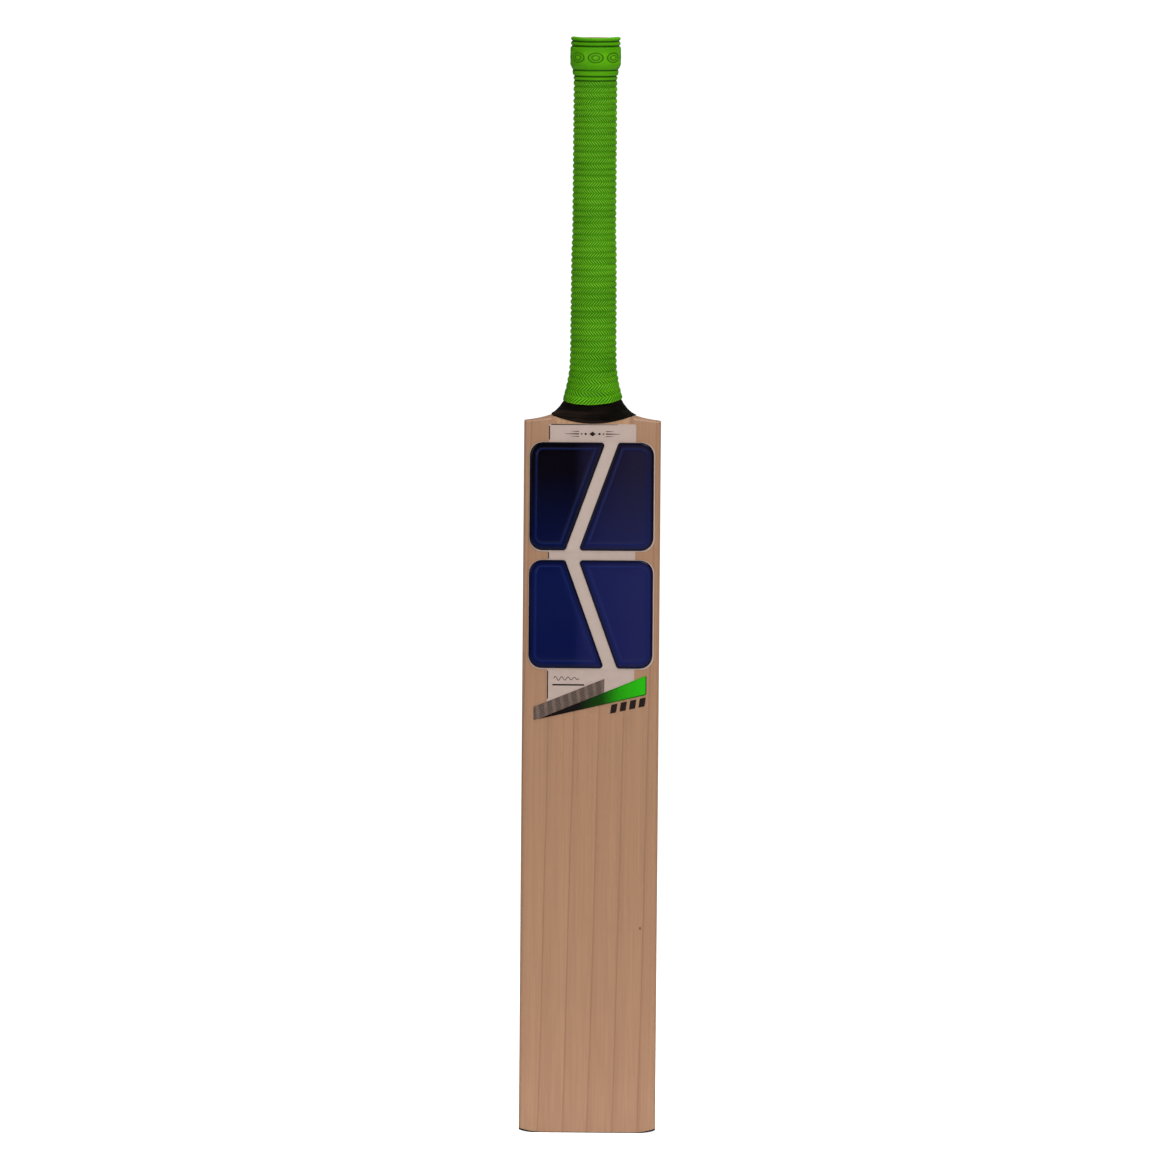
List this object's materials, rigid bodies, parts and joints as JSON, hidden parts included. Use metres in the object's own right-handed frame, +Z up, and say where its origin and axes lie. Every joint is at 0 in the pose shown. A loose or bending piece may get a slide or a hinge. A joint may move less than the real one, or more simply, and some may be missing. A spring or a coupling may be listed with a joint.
{
  "type": "cricket bat",
  "caption": "Full-size short-handle cricket bat: bowed willow blade with a spine, spliced cane handle, ribbed rubber grip, domed face labels and a rubber toe guard.",
  "frame": {"origin": "middle of the flat underside of the toe", "axes": "+Z up the blade towards the handle, -Y the way the hitting face looks, +X across the blade to the right as the face is seen"},
  "size_m": [0.1076, 0.0823, 0.8629],
  "materials": {
    "willow": "pale close-grained willow, pressed and waxed",
    "cane": "planed cane",
    "spring_rubber": "dull brown rubber sheet",
    "twine": "waxed linen twine, close wound",
    "tape": "black cotton tape",
    "grip_rubber": "satin green moulded rubber",
    "toe_rubber": "dark matt rubber sheet",
    "strip_film": "satin white printed film",
    "emblem_film": "satin white film",
    "emblem_resin": "clear domed resin over a near-black to blue print",
    "band_film": "grey patterned film",
    "wedge_film": "glossy film, black running to green",
    "tally_film": "black film"
  },
  "bodies": {
    "root": {"blade": "willow", "toe_guard": "toe_rubber", "cheek_left": "cane", "cheek_right": "cane", "spring_front": "spring_rubber", "spring_middle": "spring_rubber", "spring_back": "spring_rubber", "cane_1_left": "cane", "cane_1_middle": "cane", "cane_1_right": "cane", "cane_2_left": "cane", "cane_2_middle": "cane", "cane_2_right": "cane", "cane_3_left": "cane", "cane_3_middle": "cane", "cane_3_right": "cane", "cane_4_left": "cane", "cane_4_middle": "cane", "cane_4_right": "cane", "twine_binding": "twine", "shoulder_tape": "tape", "rubber_grip": "grip_rubber", "face_strip": "strip_film", "emblem_upper_backing": "emblem_film", "emblem_upper_left": "emblem_resin", "emblem_upper_right": "emblem_resin", "emblem_lower_backing": "emblem_film", "emblem_lower_left": "emblem_resin", "emblem_lower_right": "emblem_resin", "flash_band": "band_film", "flash_wedge": "wedge_film", "flash_tally_1": "tally_film", "flash_tally_2": "tally_film", "flash_tally_3": "tally_film", "flash_tally_4": "tally_film"}
  },
  "joints": []
}
